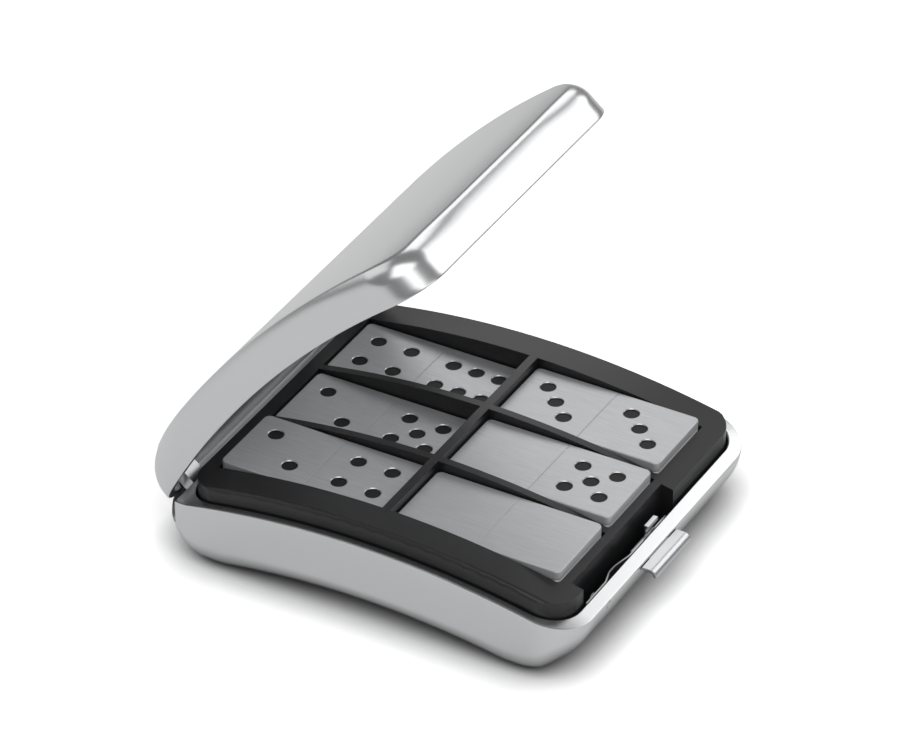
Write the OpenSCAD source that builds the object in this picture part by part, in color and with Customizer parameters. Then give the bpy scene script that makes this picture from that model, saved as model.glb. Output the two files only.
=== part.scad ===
// Pocket storage box for a double-six set of metal dominoes: a curved die-cast case in two
// halves, hinged along the back, with a moulded tray of six wells, a sprung thumb catch and
// twenty-eight plates stacked in the wells. The box is drawn open, as it stands on a table.
// X runs along the hinge, +Y from the catch to the hinge and +Z up. The origin is on the
// table, under the middle of the open box. The case grows from the dominoes outwards.

/* [Dominoes] */
// Length of a domino
tile_l = 38.0; // [34:0.5:44]
// Width of a domino
tile_w = 18.65; // [16:0.25:22]
// Thickness of a domino
tile_t = 2.2; // [1.8:0.05:2.3]
// Corner radius of a domino
tile_corner = 1.3; // [0.8:0.1:2.5]
// Air between stacked dominoes
stack_gap = 0.02; // [0.01:0.01:0.05]
// Height of a full stack above the middle of the case rim
stack_rise = 1.5; // [1:0.1:1.8]
// Distance between neighbouring pips
pip_pitch = 3.97; // [3.6:0.05:4.2]
// Distance of each half's pips from the middle of the domino
pip_square = 9.77; // [8.5:0.05:10.5]
// Diameter of a pip
pip_d = 3.3; // [2.4:0.1:3.5]
// Depth of a pip
pip_depth = 0.3; // [0.15:0.05:0.6]
// Width of the groove across the middle
groove_w = 0.5; // [0.3:0.05:1]
// Depth of the groove across the middle
groove_depth = 0.25; // [0.1:0.05:0.5]

/* [Tray] */
// Clearance between a domino and its well, all round
well_gap = 0.3; // [0.15:0.05:0.6]
// Thickness of the walls between the rows
row_wall = 1.7; // [1.2:0.1:2.4]
// Thickness of the wall between the columns
column_wall = 1.9; // [1.2:0.1:2.6]
// Width of the tray beside the outer rows
tray_side_wall = 7.4; // [6:0.1:10]
// Width of the tray behind the rear wells
tray_back_wall = 3.5; // [3:0.1:6]
// Clearance between the tray and the case wall
tray_gap = 0.4; // [0.2:0.05:0.6]
// Height that the tray stands above the case rim
tray_rise = 3.5; // [2.8:0.1:4]
// Thickness of the tray under the dominoes
tray_floor = 1.2; // [0.8:0.1:1.5]
// Thickness of the tray's skirt and roof
skirt_t = 1.6; // [1.2:0.1:2]
// Rounding of the tray's long upper edges
tray_edge_r = 1.2; // [0.6:0.1:1.5]
// Thickness of the wall between the front wells and the catch
notch_wall = 1.7; // [1.2:0.1:2.4]

/* [Case] */
// Radius of the plan corners
corner_r = 9.3; // [8:0.1:10.5]
// Radius of the arch that the rims follow
arch_r = 195.6; // [180:0.2:230]
// Depth of the base below its rim
base_depth = 15.8; // [15:0.1:18]
// Rounding of the base's front and back ends, seen from the side
base_end_r = 14; // [12.5:0.1:15.5]
// Rounding of the base's lower edges, along its sides and round its corners
base_side_r = 5.5; // [4.5:0.1:6]
// Thickness of the side walls
side_wall = 2.0; // [1.6:0.05:2.6]
// Thickness of the front walls
front_wall = 3.0; // [2.6:0.05:3.4]
// Thickness of the base's floor and the lid's roof
floor_t = 1.5; // [1.2:0.05:1.8]
// Depth of the narrow flats that the base stands on
land_cut = 0.15; // [0.1:0.01:0.3]

/* [Lid] */
// Height of the lid above its rim, up to the crease
lid_h = 8.45; // [8:0.05:11]
// Rounding of the lid's long upper edges
lid_side_r = 2.8; // [2.2:0.1:3.4]
// Width that the side rounding takes off before the crease
crease_inset = 1.0; // [0.6:0.05:1.5]
// Bulge radius of the lid's front wall
lid_front_r = 13; // [10:0.5:16]
// Height on the front wall where its bulge begins
lid_front_h = 3.4; // [2:0.1:4.5]
// Rounding of the lid's hinge end
lid_back_r = 9; // [8:0.1:9.4]
// Thickness of the lid's wall at the hinge end
lid_back_wall = 1.8; // [1.5:0.05:1.9]
// Gap between the two rims when the lid is shut
rim_gap = 0.12; // [0.08:0.01:0.25]
// Angle that the lid stands open
lid_open = 49.85; // [20:0.05:80]

/* [Hinge] */
// Distance of the hinge axis from the back of the case
axis_inset = 3.68; // [3.5:0.02:4]
// Height of the hinge axis above the back edge of the rim
axis_rise = 0.3; // [0.1:0.05:0.5]
// Diameter of the hinge pin
pin_d = 1.4; // [1:0.05:1.6]
// Outer diameter of the rolled barrel and of the lug eyes
barrel_d = 3.0; // [2.6:0.05:3.1]
// Length of the barrel
barrel_l = 54; // [40:0.5:56]
// Width of each lid lug
lug_w = 4.6; // [3:0.1:5]
// End gap between a lug and the barrel
knuckle_gap = 0.3; // [0.2:0.05:0.5]
// Radial running clearance of the pin in the barrel
pin_play = 0.04; // [0.02:0.01:0.08]
// Radius of the hollow in the base that the lid's heel turns in
heel_r = 4.6; // [4.3:0.05:4.8]
// Thickness of the base's wall behind the leaf
leaf_seat = 1.25; // [1:0.05:2]
// Thickness of the barrel's leaf
leaf_t = 0.8; // [0.6:0.05:0.9]
// Diameter of the rivets in the leaf
leaf_rivet_d = 1.5; // [1:0.1:1.8]
// Distance between the leaf's rivets
leaf_rivet_pitch = 15; // [10:0.5:17]

/* [Catch] */
// Room for the catch between the tray and the front wall
catch_room = 3.15; // [2.9:0.05:4]
// Middle of the catch, measured from the middle of the case
catch_x = -3.4; // [-6:0.1:2]
// Width of the thumb tab
thumb_w = 14.9; // [12:0.1:18]
// Reach of the thumb tab beyond the front wall
thumb_reach = 3.6; // [3:0.1:5]
// Travel of the catch when it is pressed
press_travel = 1.0; // [0.8:0.05:1]
// Reach of the strip from the middle of the lever to its riveted end
strip_near = 24.6; // [24:0.1:26]
// Reach of the strip from the middle of the lever to its free end
strip_far = 9.1; // [8.5:0.1:9.5]
// Distance of the rivet from the middle of the lever
rivet_back = 20.9; // [20:0.1:21.5]
// Thickness of the thumb lever
lever_t = 0.8; // [0.6:0.05:1]
// Width of the neck that passes through the front wall
neck_w = 8; // [6:0.1:10]
// Clearance round the neck in its slot
neck_gap = 0.12; // [0.08:0.01:0.2]
// Metal left between the slot and the rim, at the wall's outer face
slot_roof = 0.6; // [0.5:0.05:0.9]
// Width of the hook at the top of the lever
hook_w = 4.2; // [3:0.1:5]
// Width of the stem that carries the hook
stem_w = 1.9; // [1.5:0.1:2.5]
// Overhang of the hook over the lid's keeper
bite = 0.35; // [0.25:0.05:0.4]
// Thickness of the catch spring's strip
spring_t = 0.3; // [0.2:0.02:0.36]
// Height of the catch spring's strip
spring_h = 3.4; // [3:0.1:3.6]
// Height of the bow that makes the strip springy
spring_bow = 0.95; // [0.6:0.05:1.2]
// Diameter of the spring's rivet
spring_rivet_d = 1.6; // [1.2:0.1:2]

/* [Hidden] */
$fn = 64;

// Finishes, as colours.
chrome = [0.78, 0.79, 0.80];
steel = [0.62, 0.63, 0.65];
plate = [0.66, 0.67, 0.68];
moulding = [0.10, 0.10, 0.11];

// Smoothness of the long curves, and margins for cuts that run past a face.
fine = 360;
past = 1;
seat = 0.02;
edge_step = 0.04;
tall = 60;
arch_sweep = 18;

// The stacks: column (0 is at the hinge), row, and the dominoes from the bottom up as pairs
// of pip counts. The first count of each pair lies at the hinge end.
stacks = [
    [0, 0, [[2, 2], [5, 6], [1, 1], [0, 3], [2, 4]]],
    [0, 1, [[6, 6], [3, 4], [0, 1], [2, 5]]],
    [0, 2, [[4, 5], [0, 2], [1, 3], [4, 6]]],
    [1, 0, [[4, 4], [2, 6], [1, 5], [3, 6], [0, 0]]],
    [1, 1, [[5, 5], [0, 4], [2, 3], [1, 6], [0, 5]]],
    [1, 2, [[1, 2], [3, 5], [0, 6], [1, 4], [3, 3]]]
];
function domino_name(pips) = str("domino_", pips[0], "_", pips[1]);
full_stack = 5;

// The wells, the tray and the case in plan, from the dominoes outwards.
well_l = tile_l + 2 * well_gap;
well_w = tile_w + 2 * well_gap;
pitch_x = well_w + row_wall;
pitch_y = well_l + column_wall;
in_half_w = 1.5 * pitch_x - row_wall / 2 + tray_side_wall + tray_gap;
half_w = in_half_w + side_wall;
barrel_r = barrel_d / 2;
case_l = front_wall + catch_room + notch_wall + 2 * well_l + column_wall + tray_back_wall
    + tray_gap + leaf_seat + barrel_r + axis_inset;
half_l = case_l / 2;
in_front_y = front_wall - half_l;
notch_y = in_front_y + catch_room;
column_y = [notch_y + notch_wall + 1.5 * well_l + column_wall, notch_y + notch_wall + well_l / 2];
tray_back_y = column_y[0] + well_l / 2 + tray_back_wall;
in_back_y = tray_back_y + tray_gap;
leaf_y = in_back_y + leaf_seat;
in_corner_r = corner_r - side_wall;

// The arch: its axis lies far below the table and runs along X. Each rounded end of the base
// passes through the end of the rim and runs smoothly into the underside.
under_r = arch_r - base_depth;
in_floor_r = under_r + floor_t;
tray_top_r = arch_r + tray_rise;
end_reach = under_r + base_end_r;
end_turn = asin(half_l / arch_r)
    - acos((end_reach * end_reach + arch_r * arch_r - base_end_r * base_end_r)
           / (2 * end_reach * arch_r));
base_end_y = end_reach * sin(end_turn);
base_end_z = base_end_r - land_cut;
arch_z = base_end_z - end_reach * cos(end_turn);
in_end_r = base_end_r - floor_t;
in_side_r = base_side_r - side_wall;
function arch_at(r, y) = arch_z + sqrt(r * r - y * y);
rim_end_z = arch_at(arch_r, half_l);
rim_in_z = arch_at(arch_r, in_front_y);
floor_z = arch_at(arch_r, 0) + stack_rise - full_stack * (tile_t + stack_gap);

// The hinge axis and its lugs.
axis_y = half_l - axis_inset;
axis_z = rim_end_z + axis_rise;
lug_x = barrel_l / 2 + knuckle_gap + lug_w / 2;
leaf_low = axis_z - heel_r + 0.25;
leaf_rivet_z = axis_z - (barrel_r + heel_r) / 2;

// The lid, drawn shut on the base.
lid_rim_r = arch_r + rim_gap;
lid_top_r = lid_rim_r + lid_h;
lid_round_r = lid_top_r - lid_side_r * sin(acos(1 - crease_inset / lid_side_r));
lid_end_z = arch_at(lid_rim_r, half_l);
lid_back_y = half_l - lid_back_r;
lid_back_z = arch_at(lid_top_r - lid_back_r, lid_back_y);
lid_edge_at = lid_back_r - (lid_top_r - lid_round_r);
lid_turn = asin(lid_back_y / (lid_top_r - lid_back_r));
lid_front_y = lid_front_r - half_l;
lid_front_z = lid_end_z + lid_front_h;

// The catch: lever, strip and keeper, from the front wall inwards.
neck_top = rim_end_z - slot_roof;
neck_low = neck_top - lever_t;
strip_y = in_front_y + 0.04;
flange_y = strip_y + spring_t + 0.04;
flange_t = 0.5;
stem_y = flange_y + 0.25;
keeper_y = stem_y - 0.15;
hook_y = keeper_y - bite;
hook_low = rim_in_z + 0.95;
hook_h = 0.8;
hook_x = catch_x + 3.6;
spring_start = catch_x - strip_near;
spring_end = catch_x + strip_far;
spring_low = neck_low - 1.45;
rivet_x = catch_x - rivet_back;
notch_start = spring_start - 0.9;
notch_end = spring_end + 3.6;

// How far everything is set back, so that the open box reaches as far forwards as backwards.
back_reach = axis_y + (lid_back_y - axis_y) * cos(lid_open)
    + (lid_back_z - axis_z) * sin(lid_open) + lid_back_r;
set_y = (half_l + thumb_reach - back_reach) / 2;

// ---- shared shapes ------------------------------------------------------------------------

// A rounded rectangle, given its half width, its front and its back.
module plan(half, front, back, r) {
    translate([-half, front + r]) square([2 * half, back - front - 2 * r]);
    translate([r - half, front]) square([2 * (half - r), back - front]);
    for (side = [-1, 1], y = [front + r, back - r])
        translate([side * (half - r), y]) circle(r);
}

// The upright prism over a rounded rectangle.
module prism(half, front, back, r) {
    translate([0, 0, -past]) linear_extrude(tall) plan(half, front, back, r);
}

// Turns a profile drawn in Y and Z into a solid along X.
module along_x(half) {
    translate([-half, 0, 0]) rotate([90, 0, 90]) linear_extrude(2 * half) children();
}

// A round bar along X, given its middle and length.
module bar(x, y, z, r, length) {
    translate([x - length / 2, y, z]) rotate([0, 90, 0]) cylinder(r = r, h = length);
}

// Turns a section, drawn as width across and radius up, about an axis along X at the height z,
// from one angle to another. At 0 the section stands upright, and positive angles lean it back.
module turned(z, from, to) {
    translate([0, 0, z]) rotate([0, -90, 0]) rotate([0, 0, from])
        rotate_extrude(angle = to - from, $fn = fine) mirror([1, -1, 0]) children();
}

// The stretch of the arch between two radii, seen from the side.
module ring(low, high) {
    translate([0, arch_z]) difference() {
        circle(high, $fn = fine);
        circle(low, $fn = fine);
    }
}

// What a rounded end leaves outside itself, given the middle of the rounding. side is 1 at
// the back and -1 at the front; up is 1 for an upper corner and -1 for a lower one.
module outside_round(y, z, r, side, up) {
    difference() {
        translate([side > 0 ? y : y - 2 * r, up > 0 ? z : z - 2 * r]) square(2 * r);
        translate([y, z]) circle(r, $fn = fine / 2);
    }
}

// What a rounded corner leaves outside itself: side and end say which corner, c is its radius
// in plan and r that of its rounding, which lies above its middle if up is 1 and else below.
module outside_corner(side, end, c, r, up) {
    difference() {
        translate([side > 0 ? 0 : -2 * c, end > 0 ? 0 : -2 * c, up > 0 ? 0 : -2 * c])
            cube(2 * c);
        rotate([up > 0 ? 0 : 180, 0, 0]) rotate_extrude($fn = fine / 2) {
            square([c - r, r]);
            intersection() {
                translate([c - r - edge_step, 0]) circle(r);
                square([c, r]);
            }
        }
    }
}

// The same for the four lower corners of a rounded rectangle whose ends are rounded by end_r.
module under_corners(half, front, back, c, r, end_r) {
    for (side = [-1, 1], end = [-1, 1]) {
        y = end > 0 ? back - c : front + c;
        drop = sqrt(pow(end_r - r, 2) - pow(abs(y) - base_end_y, 2));
        translate([side * (half - c), y, base_end_z - drop + edge_step]) outside_corner(side, end, c, r, -1);
    }
}

// The section of a rounded end: as wide as what it ends, with edges rounded by r about points
// at the radius edge_at.
module end_section(half, end_r, r, edge_at) {
    intersection() {
        union() {
            translate([-half, 0]) square([2 * half, edge_at]);
            translate([r - half, 0]) square([2 * (half - r), end_r]);
            for (side = [-1, 1])
                translate([side * (half - r), edge_at]) circle(r);
        }
        translate([-half, 0]) square([2 * half, end_r]);
    }
}

// A trough on the arch whose ends, bottom edges and corners are rounded, open at the top. It is
// half wide to each side and low_r above the arch axis; c is its radius in plan.
module trough(half, front, back, c, r, low_r, end_r) {
    intersection() {
        prism(half + edge_step, front, back, c);
        union() {
            turned(arch_z, -end_turn, end_turn) tub_section(half, low_r, r);
            for (end = [-1, 1])
                translate([0, end * base_end_y, 0]) turned(base_end_z, 0, 360)
                    end_section(half - edge_step, end_r - edge_step, r, end_r - r - edge_step);
        }
    }
}

// A cross section with rounded lower corners: width across, radius up.
module tub_section(half, low, r) {
    rise = 2 * base_end_r + past;
    translate([-half, low + r]) square([2 * half, rise - r]);
    translate([r - half, low]) square([2 * (half - r), rise]);
    for (side = [-1, 1])
        translate([side * (half - r), low + r]) circle(r);
}

// What fills the base's hollow, drawn in by a clearance on all sides.
module hollow(gap) {
    trough(in_half_w - gap, in_front_y + gap, in_back_y - gap, in_corner_r - gap, in_side_r - gap,
           in_floor_r + gap, in_end_r - gap);
}

// ---- the base -----------------------------------------------------------------------------

// What is cut from the back of the base, for the lid's heel to turn in and clear of the lugs.
module heel_hollow() {
    intersection() {
        bar(0, axis_y, axis_z, heel_r, 2 * half_w + 2 * past);
        translate([-half_w - past, leaf_y, axis_z - 2 * heel_r])
            cube([2 * half_w + 2 * past, 2 * heel_r, 4 * heel_r]);
    }
    for (side = [-1, 1])
        bar(side * lug_x, axis_y, axis_z, barrel_r + knuckle_gap, lug_w + 2 * knuckle_gap);
}

// The slot in the front wall for the lever's neck.
module neck_slot() {
    translate([catch_x - neck_w / 2 - neck_gap, -half_l - past, neck_low - neck_gap])
        cube([neck_w + 2 * neck_gap, front_wall + 2 * past, lever_t + 2 * neck_gap]);
    // The recess that the thumb tab sinks into when it is pressed.
    translate([catch_x - thumb_w / 2 - neck_gap, -half_l - past, neck_low - neck_gap])
        cube([thumb_w + 2 * neck_gap, press_travel + past, lever_t + 2 * neck_gap]);
}

module base_shell() {
    color(chrome) difference() {
        intersection() {
            trough(half_w, -half_l, half_l, corner_r, base_side_r, under_r, base_end_r);
            along_x(half_w + past) ring(under_r - base_end_r, arch_r);
        }
        under_corners(half_w, -half_l, half_l, corner_r, base_side_r, base_end_r);
        hollow(0);
        // The narrow flats at both ends, which the base stands on.
        translate([-half_w, -half_l, -base_end_r]) cube([2 * half_w, case_l, base_end_r]);
        heel_hollow();
        neck_slot();
        rivet_through(spring_rivet_d, front_wall + past);
        leaf_rivet_shanks(leaf_rivet_d);
    }
}

// ---- the lid ------------------------------------------------------------------------------

// The lid seen from the side, shut, drawn in by its walls.
module lid_profile(front, back, roof, low_r) {
    difference() {
        intersection() {
            ring(low_r, lid_top_r - roof);
            translate([-case_l, -past]) square([2 * case_l, tall]);
        }
        outside_round(lid_back_y, lid_back_z, lid_back_r - back, 1, 1);
        outside_round(lid_front_y, lid_front_z, lid_front_r - front, -1, 1);
    }
}

// Sets a piece that is drawn shut at the angle that the lid stands open.
module opened() {
    translate([0, axis_y, axis_z]) rotate([-lid_open, 0, 0]) translate([0, -axis_y, -axis_z])
        children();
}

// The hollow of the lid, shut.
module lid_hollow() {
    intersection() {
        prism(in_half_w, in_front_y, half_l - lid_back_wall, in_corner_r);
        along_x(half_w) lid_profile(front_wall, lid_back_wall, floor_t, lid_rim_r - 2 * heel_r);
    }
}

// The lid's outside: upright sides and a rounding that stops at a crease, which runs along both
// sides of the roof, down over the hinge end and round the front corners.
module lid_block() {
    difference() {
        intersection() {
            prism(half_w, -half_l, half_l, corner_r);
            along_x(half_w + past) lid_profile(0, 0, 0, lid_rim_r);
            union() {
                turned(arch_z, -arch_sweep, lid_turn)
                    end_section(half_w, lid_top_r, lid_side_r, lid_round_r);
                translate([0, lid_back_y, 0]) turned(lid_back_z, 0, 360)
                    end_section(half_w - edge_step, lid_back_r - edge_step, lid_side_r,
                                lid_edge_at - edge_step);
            }
        }
        for (side = [-1, 1])
            translate([side * (half_w - corner_r), corner_r - half_l,
                       arch_at(lid_round_r, corner_r - half_l) - edge_step])
                outside_corner(side, -1, corner_r, lid_side_r, 1);
    }
}

module lid_shell() {
    color(chrome) opened() difference() {
        lid_block();
        lid_hollow();
    }
}

// ---- the hinge ----------------------------------------------------------------------------

// The shanks of the leaf's rivets, through the leaf and the wall behind it.
module leaf_rivet_shanks(d) {
    for (place = [-1.5:1.5])
        translate([place * leaf_rivet_pitch, in_back_y, leaf_rivet_z]) rotate([-90, 0, 0])
            cylinder(d = d, h = leaf_seat + leaf_t + seat);
}

module hinge_leaf() {
    color(steel) difference() {
        union() {
            bar(0, axis_y, axis_z, barrel_r, barrel_l);
            translate([-barrel_l / 2, leaf_y + seat, leaf_low])
                cube([barrel_l, leaf_t, axis_z - leaf_low]);
        }
        bar(0, axis_y, axis_z, pin_d / 2 + pin_play, barrel_l + 2 * past);
        leaf_rivet_shanks(leaf_rivet_d);
    }
}

module hinge_rivets() {
    color(steel) leaf_rivet_shanks(leaf_rivet_d - seat);
}

module hinge_pin() {
    color(steel) bar(0, axis_y, axis_z, pin_d / 2, 2 * (lug_x + lug_w / 2));
}

// A lug on the lid: an eye for the pin and an arm that seats in the lid's rounded back.
module lid_lug(side) {
    arm_up = lid_back_r - lid_back_wall;
    color(steel) opened() difference() {
        intersection() {
            union() {
                bar(side * lug_x, axis_y, axis_z, barrel_r, lug_w);
                translate([side * lug_x - lug_w / 2, axis_y - barrel_r, axis_z])
                    cube([lug_w, 2 * barrel_r, arm_up]);
            }
            union() {
                bar(0, lid_back_y, lid_back_z, lid_back_r - lid_back_wall - seat, case_l);
                translate([-half_w, lid_back_y, lid_back_z - 2 * barrel_r])
                    cube([2 * half_w, lid_back_r - lid_back_wall - seat, 2 * barrel_r]);
            }
        }
        bar(side * lug_x, axis_y, axis_z, pin_d / 2 + seat, lug_w + 2 * past);
    }
}
module lid_lug_near() { lid_lug(-1); }
module lid_lug_far() { lid_lug(1); }

// ---- the tray -----------------------------------------------------------------------------

// The tray's cross section above the floor, with its long upper edges rounded.
module tray_section() {
    half = in_half_w - tray_gap;
    r = tray_edge_r;
    low = in_floor_r - past;
    translate([-half, low]) square([2 * half, tray_top_r - low - r]);
    translate([r - half, low]) square([2 * (half - r), tray_top_r - low]);
    for (side = [-1, 1])
        translate([side * (half - r), tray_top_r - r]) circle(r);
}

// A box over the wells' places, widened all round.
module wells_block(margin, low, high) {
    x = 1.5 * pitch_x - row_wall / 2 + margin;
    front = column_y[1] - well_l / 2 - margin;
    back = column_y[0] + well_l / 2 + margin;
    translate([-x, front, low]) cube([2 * x, back - front, high - low]);
}

module tray() {
    top = tray_top_r + arch_z + past;
    under = floor_z - tray_floor;
    color(moulding) difference() {
        intersection() {
            turned(arch_z, -arch_sweep, arch_sweep) tray_section();
            hollow(tray_gap);
        }
        // The wells, and the hollows under their floors.
        for (x = [-1:1], y = column_y)
            translate([x * pitch_x - well_w / 2, y - well_l / 2, 0]) {
                translate([0, 0, floor_z]) cube([well_w, well_l, top - floor_z]);
                translate([0, 0, -past]) cube([well_w, well_l, under + past]);
            }
        // The hollow under the border round the wells.
        difference() {
            intersection() {
                along_x(in_half_w) ring(in_floor_r - past, tray_top_r - skirt_t);
                prism(in_half_w - tray_gap - skirt_t, in_front_y + tray_gap + skirt_t,
                      tray_back_y - skirt_t, in_corner_r - tray_gap - skirt_t);
            }
            wells_block(skirt_t, -past, top);
            translate([notch_start - skirt_t, in_front_y - past, -past])
                cube([notch_end - notch_start + 2 * skirt_t, front_wall + catch_room, top]);
        }
        // The room for the catch.
        translate([notch_start, in_front_y - past, -past])
            cube([notch_end - notch_start, catch_room + past, top + past]);
    }
}

// ---- the catch ----------------------------------------------------------------------------

// The spring rivet's shank, from the strip outwards.
module rivet_through(d, length) {
    translate([rivet_x, strip_y + spring_t + seat, neck_low + lever_t / 2])
        rotate([90, 0, 0]) cylinder(d = d, h = length);
}

// The lever seen from the side: thumb tab, neck and flange in one bent strip.
module thumb_profile() {
    curl = 2 * lever_t;
    tip = -half_l - thumb_reach;
    translate([tip + curl, neck_low]) square([flange_y + flange_t - tip - curl, lever_t]);
    translate([tip + curl, neck_top - curl]) intersection() {
        difference() {
            circle(curl);
            circle(curl - lever_t);
        }
        translate([-curl, 0]) square([curl, curl]);
    }
}

module latch_lever() {
    x = catch_x - neck_w / 2;
    flange_up = spring_low + spring_h - 0.3;
    color(chrome) union() {
        intersection() {
            translate([catch_x, 0, 0]) along_x(thumb_w / 2) thumb_profile();
            union() {
                translate([x, -half_l - past, 0]) cube([neck_w, case_l, neck_top + past]);
                translate([catch_x - thumb_w / 2, -half_l - 2 * thumb_reach, 0])
                    cube([thumb_w, 2 * thumb_reach - 0.15, neck_top + past]);
            }
        }
        translate([x - lever_t, flange_y, spring_low + 0.3])
            cube([neck_w + 2 * lever_t, flange_t, flange_up - spring_low - 0.3]);
        // The stem and the hook.
        translate([hook_x - hook_w / 2, stem_y, neck_low])
            cube([stem_w, flange_t, hook_low + hook_h - neck_low]);
        translate([hook_x - hook_w / 2, hook_y, hook_low])
            cube([hook_w, stem_y + flange_t - hook_y, hook_h]);
    }
}

// The strip seen from above: flat against the wall, bowed in the middle and flat again.
module strip_outline() {
    bow = [rivet_x + 4.4, rivet_x + 7.6, rivet_x + 10, rivet_x + 14.6];
    line = [
        [spring_start, 0], [bow[0], 0], [bow[1], spring_bow], [bow[2], spring_bow],
        [bow[3], 0], [spring_end, 0]
    ];
    translate([0, strip_y]) polygon(concat(
        line, [for (i = [len(line) - 1:-1:0]) line[i] + [0, spring_t]]
    ));
}

module latch_spring() {
    color(steel) difference() {
        translate([0, 0, spring_low]) linear_extrude(spring_h) strip_outline();
        translate([catch_x - neck_w / 2 - neck_gap, strip_y - past, neck_low - neck_gap])
            cube([neck_w + 2 * neck_gap, 2 * past + spring_t, lever_t + 2 * neck_gap]);
        rivet_through(spring_rivet_d, front_wall);
    }
}

// A rivet through the strip and the front wall, with a low head inside and flush outside.
module spring_rivet() {
    color(steel) {
        rivet_through(spring_rivet_d - seat, front_wall + spring_t);
        translate([rivet_x, strip_y + spring_t + seat, neck_low + lever_t / 2])
            rotate([-90, 0, 0]) cylinder(d = 1.7 * spring_rivet_d, h = 0.5);
    }
}

// The plate inside the lid's front wall that the hook catches, with a window for the hook.
module lid_keeper() {
    low = rim_in_z + rim_gap + 0.15;
    color(steel) opened() difference() {
        translate([hook_x - hook_w / 2 - 1.4, in_front_y + seat, low])
            cube([hook_w + 2.8, keeper_y - in_front_y - seat, 3.0]);
        translate([hook_x - hook_w / 2 - 0.3, in_front_y - past, hook_low - 0.12])
            cube([hook_w + 0.6, 2 * catch_room, hook_h + 0.6]);
    }
}

// ---- the dominoes -------------------------------------------------------------------------

// Where the pips of a half lie, in steps across and along it, for a count from 0 to 6.
function pip_places(count) =
    count == 6 ? [for (across = [-1, 1], along = [-1.375, 0, 1.375]) [across, along]] :
    concat(
        count % 2 == 1 ? [[0, 0]] : [],
        count >= 2 ? [[1, 1], [-1, -1]] : [],
        count >= 4 ? [[1, -1], [-1, 1]] : []
    );

// One domino standing on its underside, its long side along Y and its pips on top.
module domino(pips) {
    color(plate) difference() {
        linear_extrude(tile_t)
            plan(tile_w / 2, -tile_l / 2, tile_l / 2, tile_corner);
        for (half = [0, 1], place = pip_places(pips[half]))
            translate([place[0] * pip_pitch, place[1] * pip_pitch + (1 - 2 * half) * pip_square,
                       tile_t - pip_depth])
                cylinder(d = pip_d, h = pip_depth + past, $fn = 32);
        translate([-tile_w, -groove_w / 2, tile_t - groove_depth])
            cube([2 * tile_w, groove_w, groove_depth + past]);
    }
}

module placed() { translate([0, set_y, 0]) children(); }

placed() base_shell();
placed() lid_shell();
placed() hinge_leaf();
placed() hinge_rivets();
placed() hinge_pin();
placed() lid_lug_near();
placed() lid_lug_far();
placed() lid_keeper();
placed() tray();
placed() latch_lever();
placed() latch_spring();
placed() spring_rivet();
for (stack = stacks)
    for (level = [0:len(stack[2]) - 1])
        placed()
                translate([(stack[1] - 1) * pitch_x, column_y[stack[0]],
                           floor_z + level * (tile_t + stack_gap) + stack_gap])
                    domino(stack[2][level]);
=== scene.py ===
"""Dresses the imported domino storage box: finishes, fine edges, studio and camera."""

from __future__ import annotations

import logging
import math
from collections.abc import Callable
from dataclasses import dataclass, field
from enum import Enum
from typing import Any

import bpy
from mathutils import Matrix, Vector

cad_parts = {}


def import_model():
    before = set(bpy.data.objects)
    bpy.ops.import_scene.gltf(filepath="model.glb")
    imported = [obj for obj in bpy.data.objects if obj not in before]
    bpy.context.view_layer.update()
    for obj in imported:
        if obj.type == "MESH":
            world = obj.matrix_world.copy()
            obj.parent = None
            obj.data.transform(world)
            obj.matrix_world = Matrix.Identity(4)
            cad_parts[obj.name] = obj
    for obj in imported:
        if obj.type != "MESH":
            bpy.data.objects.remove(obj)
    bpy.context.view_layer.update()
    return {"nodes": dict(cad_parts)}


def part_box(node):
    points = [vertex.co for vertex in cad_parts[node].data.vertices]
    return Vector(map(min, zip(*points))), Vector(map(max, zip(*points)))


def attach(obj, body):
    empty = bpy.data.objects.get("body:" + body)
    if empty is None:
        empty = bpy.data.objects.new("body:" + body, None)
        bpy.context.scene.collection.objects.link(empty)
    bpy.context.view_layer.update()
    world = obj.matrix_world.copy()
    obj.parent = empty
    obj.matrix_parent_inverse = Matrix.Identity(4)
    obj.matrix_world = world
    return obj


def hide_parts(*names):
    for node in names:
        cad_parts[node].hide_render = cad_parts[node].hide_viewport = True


LOG = logging.getLogger("domino_box")
MM = 0.001
NEAR_MM = 0.01  # two places closer than this are the same one

Colour = tuple[float, float, float, float]
Point = tuple[float, float, float]
Ring = list[Point]


class Lie(Enum):
    """Which way a round bar lies."""

    ACROSS = "along X, from side to side"
    ALONG = "along Y, from the catch to the hinge"


# ---- shared helpers -----------------------------------------------------------------------


def linear(hex_colour: str) -> Colour:
    """Turns an sRGB hex colour into the linear RGBA that a shader socket takes.

    Args:
        hex_colour: the colour as "#rrggbb".

    Returns:
        Linear red, green and blue, with alpha 1.
    """
    parts = [int(hex_colour[i : i + 2], 16) / 255 for i in (1, 3, 5)]
    curve = [p / 12.92 if p <= 0.04045 else ((p + 0.055) / 1.055) ** 2.4 for p in parts]
    return (curve[0], curve[1], curve[2], 1.0)


def add_node(
    tree: bpy.types.NodeTree,
    kind: str,
    inputs: dict[str | int, Any] | None = None,
    **settings: Any,
) -> bpy.types.Node:
    """Adds one shader node with its settings, socket values and links.

    Args:
        tree: the node tree that the node goes into.
        kind: the node's Blender type name, such as "ShaderNodeTexNoise".
        inputs: socket name or number to a value, or to the output socket that feeds it.
        **settings: the node's own attributes.

    Returns:
        The new node.
    """
    node = tree.nodes.new(kind)
    for name, value in settings.items():
        setattr(node, name, value)
    for name, value in (inputs or {}).items():
        if isinstance(value, bpy.types.NodeSocket):
            tree.links.new(value, node.inputs[name])
        else:
            node.inputs[name].default_value = value
    return node


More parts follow.
